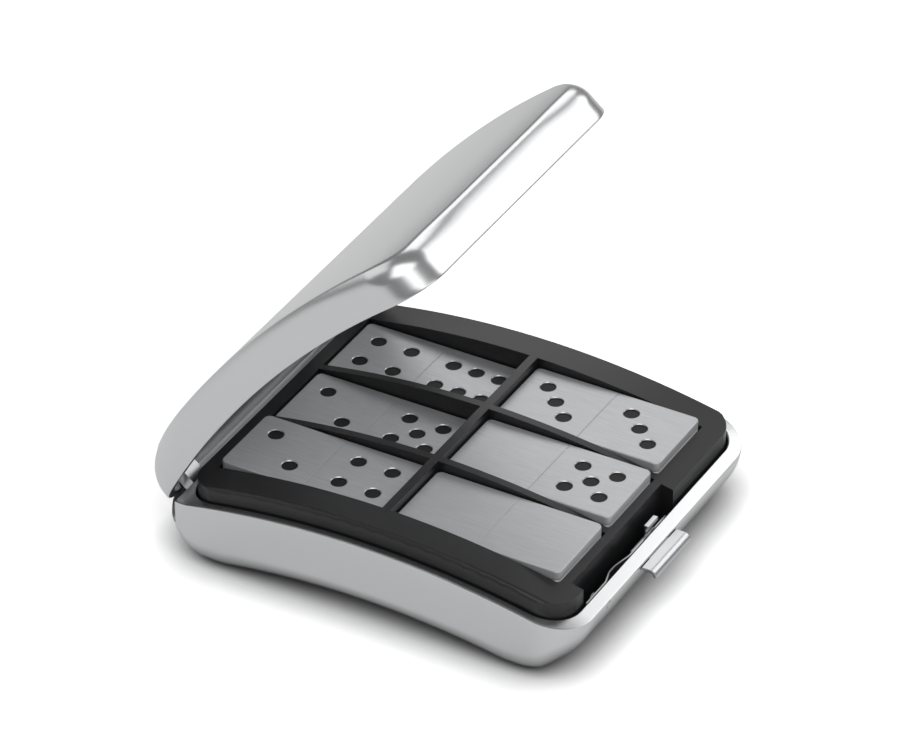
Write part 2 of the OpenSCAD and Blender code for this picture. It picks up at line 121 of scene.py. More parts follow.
def new_material(name: str) -> tuple[bpy.types.Material, bpy.types.NodeTree]:
    """Makes an empty node material.

    Args:
        name: the finish in a maker's plain words.

    Returns:
        The material and its node tree, which holds no node yet.
    """
    material = bpy.data.materials.new(name)
    material.use_nodes = True
    material.node_tree.nodes.clear()
    return material, material.node_tree


def clear_selection() -> None:
    """Deselects everything, since an operator acts on all that is selected."""
    if bpy.context.mode != "OBJECT":
        bpy.ops.object.mode_set(mode="OBJECT")
    bpy.ops.object.select_all(action="DESELECT")


def dress(obj: bpy.types.Object, *materials: bpy.types.Material) -> None:
    """Gives an object these materials in this order.

    Args:
        obj: the mesh object.
        *materials: what its slots take.
    """
    obj.data.materials.clear()
    for material in materials:
        obj.data.materials.append(material)


# ---- finishes -----------------------------------------------------------------------------


@dataclass(frozen=True)
class ChromedCasting:
    """Die-cast zinc, buffed and chromed: it mirrors the room softly, in slow waves."""

    name: str
    colour: str = "#d4d5d6"
    roughness: float = 0.26
    wave_mm: float = 30.0
    wave_detail: float = 1.0
    wave_strength: float = 0.01

    def build(self) -> bpy.types.Material:
        """Makes the material.

        Returns:
            The material.
        """
        material, tree = new_material(self.name)
        place = add_node(tree, "ShaderNodeTexCoord")
        wave = add_node(
            tree,
            "ShaderNodeTexNoise",
            {
                "Vector": place.outputs["Object"],
                "Scale": 1 / (self.wave_mm * MM),
                "Detail": self.wave_detail,
            },
        )
        bump = add_node(
            tree,
            "ShaderNodeBump",
            {"Height": wave.outputs[0], "Strength": self.wave_strength, "Distance": MM},
        )
        shader = add_node(
            tree,
            "ShaderNodeBsdfPrincipled",
            {
                "Base Color": linear(self.colour),
                "Metallic": 1.0,
                "Roughness": self.roughness,
                "Normal": bump.outputs[0],
            },
        )
        add_node(tree, "ShaderNodeOutputMaterial", {"Surface": shader.outputs[0]})
        return material


@dataclass(frozen=True)
class BrushedPlate:
    """Rolled metal plate, brushed along its length: fine streaks that stretch the highlights.

    The streaks are drawn as coarse as they need to be to show. Half of the light scatters, as it
    does on a satin face, so that a plate in the lid's shade still shows its grey.
    """

    name: str
    dark: str = "#adaeb0"
    light: str = "#d8d9db"
    streak_mm: float = 0.16
    streak_length: float = 40.0
    streak_detail: float = 3.0
    streak_breakup: float = 0.6
    depth_mm: float = 0.02
    depth_strength: float = 0.25
    roughness: float = 0.42
    metallic: float = 0.5

    def build(self) -> bpy.types.Material:
        """Makes the material.

        Returns:
            The material.
        """
        material, tree = new_material(self.name)
        place = add_node(tree, "ShaderNodeTexCoord")
        stretch = add_node(
            tree,
            "ShaderNodeMapping",
            {"Vector": place.outputs["Object"], "Scale": (1.0, 1 / self.streak_length, 1.0)},
        )
        streaks = add_node(
            tree,
            "ShaderNodeTexNoise",
            {
                "Vector": stretch.outputs[0],
                "Scale": 1 / (self.streak_mm * MM),
                "Detail": self.streak_detail,
                "Roughness": self.streak_breakup,
            },
        )
        tone = add_node(
            tree,
            "ShaderNodeMix",
            {0: streaks.outputs[0], 6: linear(self.dark), 7: linear(self.light)},
            data_type="RGBA",
        )
        bump = add_node(
            tree,
            "ShaderNodeBump",
            {
                "Height": streaks.outputs[0],
                "Strength": self.depth_strength,
                "Distance": self.depth_mm * MM,
            },
        )
        shader = add_node(
            tree,
            "ShaderNodeBsdfPrincipled",
            {
                "Base Color": tone.outputs[2],
                "Metallic": self.metallic,
                "Roughness": self.roughness,
                "Normal": bump.outputs[0],
            },
        )
        add_node(tree, "ShaderNodeOutputMaterial", {"Surface": shader.outputs[0]})
        return material


@dataclass(frozen=True)
class MouldedPlastic:
    """Moulded black plastic with a fine spark-eroded grain that breaks its sheen up."""

    name: str
    colour: str = "#1e1e20"
    roughness: float = 0.36
    grain_mm: float = 0.25
    grain_detail: float = 2.0
    depth_mm: float = 0.05
    depth_strength: float = 0.12

    def build(self) -> bpy.types.Material:
        """Makes the material.

        Returns:
            The material.
        """
        material, tree = new_material(self.name)
        place = add_node(tree, "ShaderNodeTexCoord")
        grain = add_node(
            tree,
            "ShaderNodeTexNoise",
            {
                "Vector": place.outputs["Object"],
                "Scale": 1 / (self.grain_mm * MM),
                "Detail": self.grain_detail,
            },
        )
        bump = add_node(
            tree,
            "ShaderNodeBump",
            {
                "Height": grain.outputs[0],
                "Strength": self.depth_strength,
                "Distance": self.depth_mm * MM,
            },
        )
        shader = add_node(
            tree,
            "ShaderNodeBsdfPrincipled",
            {
                "Base Color": linear(self.colour),
                "Roughness": self.roughness,
                "Normal": bump.outputs[0],
            },
        )
        add_node(tree, "ShaderNodeOutputMaterial", {"Surface": shader.outputs[0]})
        return material


@dataclass(frozen=True)
class PlainMetal:
    """A small turned, folded or rolled steel part with an even satin sheen."""

    name: str
    colour: str = "#c4c5c7"
    roughness: float = 0.3

    def build(self) -> bpy.types.Material:
        """Makes the material.

        Returns:
            The material.
        """
        material, tree = new_material(self.name)
        shader = add_node(
            tree,
            "ShaderNodeBsdfPrincipled",
            {"Base Color": linear(self.colour), "Metallic": 1.0, "Roughness": self.roughness},
        )
        add_node(tree, "ShaderNodeOutputMaterial", {"Surface": shader.outputs[0]})
        return material


@dataclass(frozen=True)
class PipPaint:
    """Dark enamel in the sunk pips, with a slight gloss."""

    name: str
    colour: str = "#141416"
    roughness: float = 0.6

    def build(self) -> bpy.types.Material:
        """Makes the material.

        Returns:
            The material.
        """
        material, tree = new_material(self.name)
        shader = add_node(
            tree,
            "ShaderNodeBsdfPrincipled",
            {"Base Color": linear(self.colour), "Roughness": self.roughness},
        )
        add_node(tree, "ShaderNodeOutputMaterial", {"Surface": shader.outputs[0]})
        return material


# ---- the room -----------------------------------------------------------------------------


@dataclass
class Lamp:
    """A soft box: where it hangs, how large it is, and how bright."""

    name: str
    place: tuple[float, float, float]
    size: tuple[float, float]
    watts: float
    aim: tuple[float, float, float] = (0.0, 0.0, 0.02)

    def build(self) -> None:
        """Hangs the lamp, turned to what it aims at."""
        data = bpy.data.lights.new(self.name, "AREA")
        data.shape = "RECTANGLE"
        data.size, data.size_y = self.size
        data.energy = self.watts
        lamp = bpy.data.objects.new(self.name, data)
        bpy.context.scene.collection.objects.link(lamp)
        lamp.location = self.place
        towards = Vector(self.aim) - Vector(self.place)
        lamp.rotation_euler = towards.to_track_quat("-Z", "Y").to_euler()


@dataclass
class Studio:
    """A pale table under soft light, and the camera.

    floor_tones are the floor's reflectance for the object, for the camera, to which it is lifted
    to white, and for what mirrors it. The setting after them is how far from the object a painted
    contact shade darkens the floor.
    """

    floor_half: float = 4.0
    floor_tones: tuple[float, float, float] = (0.8, 1.7, 0.95)
    # How far from the object the painted contact shade reaches, in metres.
    painted_shade_reach: float = 0.009
    world_level: float = 0.25
    azimuth: float = -60.4635
    elevation: float = 35.6405
    roll: float = -0.2415
    distance: float = 1.17026
    lens: float = 229.18
    target: tuple[float, float, float] = (0.0, -0.00088, 0.020261)
    picture_px: int = 900
    shift_px: tuple[float, float] = (-11.37, 64.76)
    sensor: float = 36.0
    clip: tuple[float, float] = (0.05, 20.0)
    lamps: list[Lamp] = field(
        default_factory=lambda: [
            Lamp("key_box", (0.85, -0.41, 0.7), (0.95, 0.55), 2.9),
            Lamp("far_box", (0.95, 0.54, 0.79), (0.6, 0.7), 1.9),
            Lamp("front_box", (-0.25, -1.1, 0.6), (0.8, 0.5), 2.0),
            Lamp("back_box", (-0.34, 0.92, 0.69), (1.0, 1.0), 2.4),
            Lamp("top_box", (-0.55, -0.3, 0.95), (1.0, 1.0), 5.0),
        ]
    )

    def build(self) -> None:
        """Lays the floor, lights it and sets the camera up."""
        self.lay_floor()
        self.light_world()
        for lamp in self.lamps:
            lamp.build()
        self.set_camera()
        bpy.context.scene.view_settings.view_transform = "Standard"

    def lay_floor(self) -> None:
        """Lays the pale floor, which keeps the shadow and is lifted to white for the camera."""
        clear_selection()
        bpy.ops.mesh.primitive_plane_add(size=2 * self.floor_half, location=(0, 0, 0))
        floor = bpy.context.active_object
        floor.name = "floor"
        material, tree = new_material("pale_floor")
        path = add_node(tree, "ShaderNodeLightPath")
        plain, lift, sheen = self.floor_tones
        mirrored = add_node(
            tree,
            "ShaderNodeMath",
            {0: path.outputs["Is Glossy Ray"], 1: sheen - plain, 2: plain},
            operation="MULTIPLY_ADD",
        )
        tone = add_node(
            tree,
            "ShaderNodeMath",
            {0: path.outputs["Is Camera Ray"], 1: lift - plain, 2: mirrored.outputs[0]},
            operation="MULTIPLY_ADD",
        )
        # Painted contact shade: the floor's tone is darkened where the object is close above it.
        painted_contact_shade = add_node(tree, "ShaderNodeAmbientOcclusion", {"Distance": self.painted_shade_reach})
        shade = add_node(
            tree,
            "ShaderNodeMath",
            {0: tone.outputs[0], 1: painted_contact_shade.outputs["AO"]},
            operation="MULTIPLY",
        )
        matt = add_node(tree, "ShaderNodeBsdfDiffuse", {"Color": shade.outputs[0]})
        add_node(tree, "ShaderNodeOutputMaterial", {"Surface": matt.outputs[0]})
        dress(floor, material)

    def light_world(self) -> None:
        """Gives the world an even level, and white where the camera looks past the floor."""
        world = bpy.data.worlds.new("room")
        bpy.context.scene.world = world
        world.use_nodes = True
        tree = world.node_tree
        tree.nodes.clear()
        path = add_node(tree, "ShaderNodeLightPath")
        even, white = (
            add_node(tree, "ShaderNodeBackground", {"Color": (1, 1, 1, 1), "Strength": level})
            for level in (self.world_level, 1.0)
        )
        pick = add_node(
            tree,
            "ShaderNodeMixShader",
            {0: path.outputs["Is Camera Ray"], 1: even.outputs[0], 2: white.outputs[0]},
        )
        add_node(tree, "ShaderNodeOutputWorld", {"Surface": pick.outputs[0]})

    def set_camera(self) -> None:
        """Places the camera and makes it the scene's."""
        turn, rise, roll = (math.radians(a) for a in (self.azimuth, self.elevation, self.roll))
        back = Vector(
            (math.sin(turn) * math.cos(rise), -math.cos(turn) * math.cos(rise), math.sin(rise))
        )
        level = Vector((math.cos(turn), math.sin(turn), 0))
        upright = back.cross(level)
        right = level * math.cos(roll) + upright * math.sin(roll)
        up = back.cross(right)
        data = bpy.data.cameras.new("camera")
        data.lens, data.sensor_width = self.lens, self.sensor
        data.shift_x, data.shift_y = (px / self.picture_px for px in self.shift_px)
        data.clip_start, data.clip_end = self.clip
        camera = bpy.data.objects.new("camera", data)
        bpy.context.scene.collection.objects.link(camera)
        axes = Matrix((right, up, back)).transposed().to_4x4()
        camera.matrix_world = Matrix.Translation(Vector(self.target) + back * self.distance) @ axes
        bpy.context.scene.camera = camera


# ---- shapes -------------------------------------------------------------------------------


def smooth(obj: bpy.types.Object, angle: float = 32.0) -> None:
    """Shades an object smooth, with its edges past an angle kept sharp and its normals weighted.

    Args:
        obj: the mesh object.
        angle: the angle between faces, in degrees, past which an edge stays sharp.
    """
    clear_selection()
    bpy.context.view_layer.objects.active = obj
    obj.select_set(True)
    bpy.ops.object.shade_smooth_by_angle(angle=math.radians(angle))
    weigh = obj.modifiers.new("weigh", "WEIGHTED_NORMAL")
    weigh.keep_sharp = True
    bpy.ops.object.modifier_apply(modifier=weigh.name)


def copy_of(obj: bpy.types.Object, name: str) -> bpy.types.Object:
    """Copies an object with its own mesh.

    Args:
        obj: the object, which is left alone.
        name: the copy's name.

    Returns:
        The copy, at the same place.
    """
    twin = bpy.data.objects.new(name, obj.data.copy())
    bpy.context.scene.collection.objects.link(twin)
    return twin


def merged_copy(node: bpy.types.Object, name: str, threshold: float = 0.0005) -> bpy.types.Object:
    """Copies a CAD node's mesh and closes it, since its triangles are loose.

    Args:
        node: the CAD node.
        name: the new piece's name.
        threshold: how close, in millimetres, the points are that become one.

    Returns:
        The copy, merged, at the same place.
    """
    copy = copy_of(node, name)
    clear_selection()
    bpy.context.view_layer.objects.active = copy
    copy.select_set(True)
    bpy.ops.object.mode_set(mode="EDIT")
    bpy.ops.mesh.select_all(action="SELECT")
    bpy.ops.mesh.customdata_custom_splitnormals_clear()
    bpy.ops.mesh.remove_doubles(threshold=threshold * MM)
    bpy.ops.object.mode_set(mode="OBJECT")
    return copy


def ease_edges(
    piece: bpy.types.Object, width: float, segments: int = 2, angle: float = 40.0
) -> None:
    """Rounds the sharp edges of a piece a little, as polishing or moulding does.

    Args:
        piece: the piece.
        width: the width of the rounding in millimetres.
        segments: how many faces make the rounding.
        angle: the angle between faces, in degrees, past which an edge is sharp.
    """
    clear_selection()
    bpy.context.view_layer.objects.active = piece
    piece.select_set(True)
    step = piece.modifiers.new("ease", "BEVEL")
    step.width, step.segments = width * MM, segments
    step.limit_method, step.angle_limit = "ANGLE", math.radians(angle)
    bpy.ops.object.modifier_apply(modifier=step.name)


def cut(piece: bpy.types.Object, tool: bpy.types.Object) -> None:
    """Cuts a tool's shape from a piece and removes the tool.

    Args:
        piece: what is cut.
        tool: the object to cut with.
    """
    step = piece.modifiers.new("cut", "BOOLEAN")
    step.operation, step.solver, step.object = "DIFFERENCE", "EXACT", tool
    bpy.context.view_layer.objects.active = piece
    bpy.ops.object.modifier_apply(modifier=step.name)
    bpy.data.objects.remove(tool)


def stand_for(piece: bpy.types.Object, node: str, body: str) -> None:
    """Lets a piece stand for a CAD node, and reports it.

    Args:
        piece: the finished piece.
        node: the CAD node.
        body: the body that it rides on.
    """
    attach(piece, body)
    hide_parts(node)
    LOG.info("made %s", piece.name)


def eased(a: float, b: float, t: float) -> float:
    """Passes smoothly from one size to another as t goes from 0 to 1."""
    return a + (b - a) * (t * t * (3 - 2 * t))


def select_edges(obj: bpy.types.Object, wanted: Callable[[Vector, Vector], bool]) -> None:
    """Selects the edges of a mesh that a test picks, and leaves edit mode on in edge mode.

    Args:
        obj: the mesh object.
        wanted: a test that takes the edge's two ends.
    """
    clear_selection()
    bpy.context.view_layer.objects.active = obj
    obj.select_set(True)
    bpy.ops.object.mode_set(mode="EDIT")
    bpy.ops.mesh.select_mode(type="EDGE")
    bpy.ops.mesh.select_all(action="DESELECT")
    bpy.ops.object.mode_set(mode="OBJECT")
    points = obj.data.vertices
    for edge in obj.data.edges:
        a, b = (points[i].co for i in edge.vertices)
        edge.select = bool(wanted(a, b))
    bpy.ops.object.mode_set(mode="EDIT")


# ---- the dominoes -------------------------------------------------------------------------


@dataclass
class DominoSet:
    """The twenty-eight plates: brushed metal, with sunk and painted pips and a groove."""

    plate: bpy.types.Material
    paint: bpy.types.Material
    bare: bpy.types.Material
    highest: int = 6
    length: float = 38.0
    width: float = 18.65
    thickness: float = 2.2
    corner: float = 1.3
    corner_segments: int = 6
    edge: float = 0.28
    edge_segments: int = 3
    pip_pitch: float = 3.97
    six_reach: float = 1.375
    pip_square: float = 9.77
    pip_radius: float = 1.64
    pip_depth: float = 0.3
    flare: float = 0.16
    pip_sides: int = 32
    groove: float = 0.42
    groove_flat: float = 0.35

    def blank(self) -> bpy.types.Object:
        """Makes a plate with round corners and eased edges, standing on the origin.

        Returns:
            The plate, in metres, with its middle on the Z axis.
        """
        clear_selection()
        bpy.ops.mesh.primitive_cube_add(size=1, location=(0, 0, self.thickness / 2 * MM))
        plate = bpy.context.active_object
        plate.scale = (self.width * MM, self.length * MM, self.thickness * MM)
        bpy.ops.object.transform_apply()
        select_edges(plate, lambda a, b: abs(a.z - b.z) > NEAR_MM * MM)
        bpy.ops.mesh.bevel(
            offset=self.corner * MM, segments=self.corner_segments, affect="EDGES"
        )
        bpy.ops.object.mode_set(mode="OBJECT")
        select_edges(plate, lambda a, b: abs(a.z - b.z) < NEAR_MM * MM)
        bpy.ops.mesh.bevel(offset=self.edge * MM, segments=self.edge_segments, affect="EDGES")
        bpy.ops.object.mode_set(mode="OBJECT")
        dress(plate, self.plate, self.paint, self.bare)
        return plate

    def pip_tool(self) -> bpy.types.Object:
        """Makes the tool that sinks one pip: a straight well under a flared rim.

        Returns:
            The tool, on the Z axis at the height of a plate's top.
        """
        low, top = self.thickness - self.pip_depth, self.thickness
        straight = self.pip_depth - self.flare
        clear_selection()
        bpy.ops.mesh.primitive_cylinder_add(
            vertices=self.pip_sides,
            radius=self.pip_radius * MM,
            depth=straight * MM,
            location=(0, 0, (low + straight / 2) * MM),
        )
        tool = bpy.context.active_object
        bpy.ops.object.transform_apply()
        select_edges(tool, lambda a, b: min(a.z, b.z) > (top - self.flare - NEAR_MM) * MM)
        lift = {"value": (0, 0, 2 * self.flare * MM)}
        bpy.ops.mesh.extrude_region_move(TRANSFORM_OT_translate=lift)
        wide = (self.pip_radius + 2 * self.flare) / self.pip_radius
        bpy.ops.transform.resize(value=(wide, wide, 1), center_override=(0, 0, top * MM))
        bpy.ops.object.mode_set(mode="OBJECT")
        dress(tool, self.plate, self.paint, self.bare)
        for face in tool.data.polygons:
            face.material_index = 1 if face.center.z < (low + straight + NEAR_MM) * MM else 2
        return tool

    def groove_tool(self) -> bpy.types.Object:
        """Makes the tool that cuts the groove, a flattened bar standing on its edge.

        Returns:
            The tool, across the Z axis at the height of a plate's top.
        """
        clear_selection()
        bpy.ops.mesh.primitive_cube_add(size=1, location=(0, 0, self.thickness * MM))
        tool = bpy.context.active_object
        side = self.groove / math.sqrt(2)
        tool.scale = (2 * self.width * MM, side * MM, side * MM)
        tool.rotation_euler = (math.pi / 4, 0, 0)
        bpy.ops.object.transform_apply()
        tool.data.transform(
            Matrix.Translation((0, 0, self.thickness * MM))
            @ Matrix.Diagonal((1, 1, self.groove_flat, 1))
            @ Matrix.Translation((0, 0, -self.thickness * MM))
        )
        dress(tool, self.plate, self.paint, self.bare)
        return tool

    def pip_places(self, count: int) -> list[tuple[float, float]]:
        """Lists where one half's pips stand.

        Args:
            count: how many pips the half has.

        Returns:
            Places across and along, in pip pitches from the middle of the half.
        """
        if count == 6:
            return [(x, y * self.six_reach) for x in (-1.0, 1.0) for y in (-1.0, 0.0, 1.0)]
        places = [(0.0, 0.0)] if count % 2 else []
        if count >= 2:
            places += [(1.0, 1.0), (-1.0, -1.0)]
        if count >= 4:
            places += [(1.0, -1.0), (-1.0, 1.0)]
        return places

    def all_tools(
        self, ends: tuple[int, int], pip: bpy.types.Object, groove: bpy.types.Object
    ) -> bpy.types.Object:
        """Sets out the tools for one plate and joins them.

        Args:
            ends: the pips on the two halves.
            pip: the tool for one pip.
            groove: the tool for the groove.

        Returns:
            The tools in one object.
        """
        tools = [copy_of(groove, groove.name)]
        for half, count in enumerate(ends):
            for across, along in self.pip_places(count):
                y = along * self.pip_pitch + (1 - 2 * half) * self.pip_square
                tool = copy_of(pip, pip.name)
                tool.data.transform(Matrix.Translation((across * self.pip_pitch * MM, y * MM, 0)))
                tools.append(tool)
        clear_selection()
        for tool in tools:
            tool.select_set(True)
        bpy.context.view_layer.objects.active = tools[0]
        bpy.ops.object.join()
        return tools[0]

    def build(self) -> None:
        """Makes each plate at its place in the stacks."""
        blank, pip, groove = self.blank(), self.pip_tool(), self.groove_tool()
        for a in range(self.highest + 1):
            for b in range(a, self.highest + 1):
                node = f"domino_{a}_{b}"
                low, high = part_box(node)
                plate = copy_of(blank, f"plate_{a}_{b}")
                cut(plate, self.all_tools((a, b), pip, groove))
                middle = Vector(((low.x + high.x) / 2, (low.y + high.y) / 2, low.z))
                plate.data.transform(Matrix.Translation(middle))
                smooth(plate)
                stand_for(plate, node, f"tile_{a}_{b}")
        for spare in (blank, pip, groove):
            bpy.data.objects.remove(spare)


# ---- the case -----------------------------------------------------------------------------


@dataclass(frozen=True)
class Step:
    """One step round a rounded rectangle: its place, and the direction outwards."""

    x: float
    y: float
    out_x: float
    out_y: float


@dataclass
class ArchedShell:
    """An arched half of the case, made of rings that run from its rim over its wall to its middle.

    All sizes are in millimetres, with the shut case's middle at y = 0. An operator can't sweep a
    ring whose rounding changes along its way, so the rings' points are worked out here. No ring
    may draw in by more than the corner radius in plan, past which the mesh folds over itself.
    """

    finish: bpy.types.Material
    half_w: float = 40.375
    half_l: float = 48.64
    corner: float = 9.3
    arch_z: float = -176.819
    set_y: float = 0.340639
    rim_r: float = 195.6
    ease: float = 0.3
    fillet: float = 3.5
    crease: float = 0.0
    up: int = 1
    corner_steps: int = 16
    side_steps: int = 40
    end_steps: int = 24
    wall_steps: int = 4
    roll_steps: int = 14
    fillet_steps: int = 8
    cap_steps: int = 18
    cap_spread: float = 1.4
    settle_rounds: int = 4

    def arch_at(self, r: float, y: float) -> float:
        """Gives the height of the arch of radius r over the line at y."""
        return self.arch_z + math.sqrt(r * r - y * y)

    def skin_at(self, y: float, sink: float = 0.0) -> float:
        """Gives the height of the broad face over the line at y, sunk by the wall's thickness."""
        raise NotImplementedError

    def roll_at(self, step: Step) -> tuple[float, float]:
        """Gives the rounding between wall and broad face: its radius, and its angle in degrees."""
        raise NotImplementedError

    def walk(self, half: float, front: float, back: float, r: float) -> list[Step]:
        """Walks round a rounded rectangle.

        Args:
            half: its half width.
            front: where its front is.
            back: where its back is.
            r: its corner radius.

        Returns:
            The steps.
        """
        corners = (
            (half - r, front + r, -90.0),
            (half - r, back - r, 0.0),
            (r - half, back - r, 90.0),
            (r - half, front + r, 180.0),
        )
        steps = []
        for number, (cx, cy, start) in enumerate(corners):
            for i in range(self.corner_steps):
                turn = math.radians(start + 90.0 * i / self.corner_steps)
                ox, oy = math.cos(turn), math.sin(turn)
                steps.append(Step(cx + r * ox, cy + r * oy, ox, oy))
            nx, ny, _ = corners[(number + 1) % 4]
            turn = math.radians(start + 90.0)
            ox, oy = math.cos(turn), math.sin(turn)
            count = self.end_steps if number % 2 else self.side_steps
            for i in range(count):
                t = i / count
                x, y = cx + (nx - cx) * t + r * ox, cy + (ny - cy) * t + r * oy
                steps.append(Step(x, y, ox, oy))
        return steps

    def rim_rings(self, steps: list[Step], side: int) -> list[Ring]:
        """Makes the rim's eased edge.

        Args:
            steps: the steps round the rim.
            side: 1 for the outer edge, -1 for the inner one.

        Returns:
            Three rings, from the rim's flat to the wall.
        """
        rings = []
        for turn in (0.0, math.pi / 4, math.pi / 2):
            back = side * self.ease * (1 - math.sin(turn))
            down = self.up * self.ease * (1 - math.cos(turn))
            ring = []
            for p in steps:
                z = self.arch_at(self.rim_r, p.y) + down
                ring.append((p.x - p.out_x * back, p.y - p.out_y * back, z))
            rings.append(ring)
        return rings

    def wall_ring(self, steps: list[Step], part: float) -> Ring:
        """Makes one ring of the outer wall or of the rounding that follows it.

        Args:
            steps: the steps round the outside.
            part: how far the ring lies from the rim to the end of the rounding, from 0 to 1.

        Returns:
            The ring.
        """
        ring = []
        knee = self.wall_steps / (self.wall_steps + self.roll_steps)
        for p in steps:
            r, angle = self.roll_at(p)
            end = math.radians(angle)
            low = self.arch_at(self.rim_r, p.y) + self.up * self.ease
            # Where the rounding's circle starts depends on the skin where it ends, and where the
            # circle starts above the rim, the ring takes up its arc at the rim.
            first, start = 0.0, 0.0
            for _ in range(self.settle_rounds):
                skin = self.skin_at(p.y - p.out_y * r * (math.cos(first) - math.cos(end)))
                start = skin - self.up * r * math.sin(end)
                first = math.asin(max(0.0, self.up * (low - start)) / r)
            # The ring's place is a share of the way down the wall and round the arc.
            wall = max(0.0, self.up * (start - low))
            whole = wall + r * (end - first)
            bend = max(wall, knee * whole)
            over = part - knee
            run = bend * part / knee if over < 0 else bend + (whole - bend) * over / (1 - knee)
            if run <= wall:
                ring.append((p.x, p.y, low + self.up * run))
                continue
            turn = first + (run - wall) / r
            inset = r * (math.cos(first) - math.cos(turn))
            z = start + self.up * r * math.sin(turn)
            ring.append((p.x - p.out_x * inset, p.y - p.out_y * inset, z))
        return ring

    def cap(self, ring: Ring, sink: float) -> list[Ring]:
        """Carries a ring on to the middle of the broad face.

        Args:
            ring: the last ring of the rounding.
            sink: how far below the outside the face lies.

        Returns:
            The rings, of which the last has one point.
        """
        rings = []
        for k in range(1, self.cap_steps):
            t = 1 - (k / self.cap_steps) ** self.cap_spread
            rings.append([(x * t, y * t, self.skin_at(y * t, sink)) for x, y, _ in ring])
        return [*rings, [(0.0, 0.0, self.skin_at(0.0, sink))]]

    def outside(self) -> list[Ring]:
        """Makes the outer rings.

        Returns:
            The rings, from the rim to the middle.
        """
        steps = self.walk(self.half_w, -self.half_l, self.half_l, self.corner)
        rings = self.rim_rings(steps, 1)
        count = self.wall_steps + self.roll_steps
        rings += [self.wall_ring(steps, k / count) for k in range(1, count + 1)]
        if self.crease:
            edge = []
            for p, (x, y, _) in zip(steps, rings.pop()):
                y -= p.out_y * self.crease
                edge.append((x - p.out_x * self.crease, y, self.skin_at(y)))
            rings.append(edge)
        return rings + self.cap(rings[-1], 0.0)

    def inside(self, walls: tuple[float, float, float], thick: float) -> list[Ring]:
        """Makes the inner rings.

        Args:
            walls: the thickness of the side, front and back walls.
            thick: the thickness of the broad face.

        Returns:
            The rings, from the rim to the middle.
        """
        side, front, back = walls
        steps = self.walk(
            self.half_w - side, front - self.half_l, self.half_l - back, self.corner - side
        )
        rings = self.rim_rings(steps, -1)
        for k in range(self.fillet_steps + 1):
            a = k / self.fillet_steps * math.pi / 2
            ring = []
            for p in steps:
                inset = self.fillet * (1 - math.cos(a))
                x, y = p.x - p.out_x * inset, p.y - p.out_y * inset
                z = self.skin_at(y, thick) - self.up * self.fillet * (1 - math.sin(a))
                edge = self.arch_at(self.rim_r, p.y) + self.up * (self.ease + NEAR_MM)
                ring.append((x, y, max(z, edge) if self.up > 0 else min(z, edge)))
            rings.append(ring)
        return rings + self.cap(rings[-1], thick)

    def join(self, name: str, outer: list[Ring], inner: list[Ring]) -> bpy.types.Object:
        """Joins the outer and the inner rings to one closed mesh.

        Args:
            name: the piece's name.
            outer: the rings outside, from the rim to the middle.
            inner: the rings inside, from the rim to the middle.

        Returns:
            The piece, shut and in metres.
        """
        points: list[Point] = []
        faces: list[tuple[int, ...]] = []
        count = len(outer[0])
        around = [(i, (i + 1) % count) for i in range(count)]
        for rings, turn in ((outer, 1), (inner, -1)):
            start = len(points)
            points += [p for ring in rings for p in ring]
            for k in range(len(rings) - 2):
                a, b = start + k * count, start + (k + 1) * count
                faces += [(a + i, a + j, b + j, b + i)[::turn] for i, j in around]
            tip = len(points) - 1
            faces += [(tip - count + i, tip - count + j, tip)[::turn] for i, j in around]
        start = sum(len(ring) for ring in outer)
        faces += [(i, start + i, start + j, j) for i, j in around]
        faces = [face[:: self.up] for face in faces]
        mesh = bpy.data.meshes.new(name)
        mesh.from_pydata([tuple(c * MM for c in p) for p in points], [], faces)
        piece = bpy.data.objects.new(name, mesh)
        bpy.context.scene.collection.objects.link(piece)
        dress(piece, self.finish)
        return piece


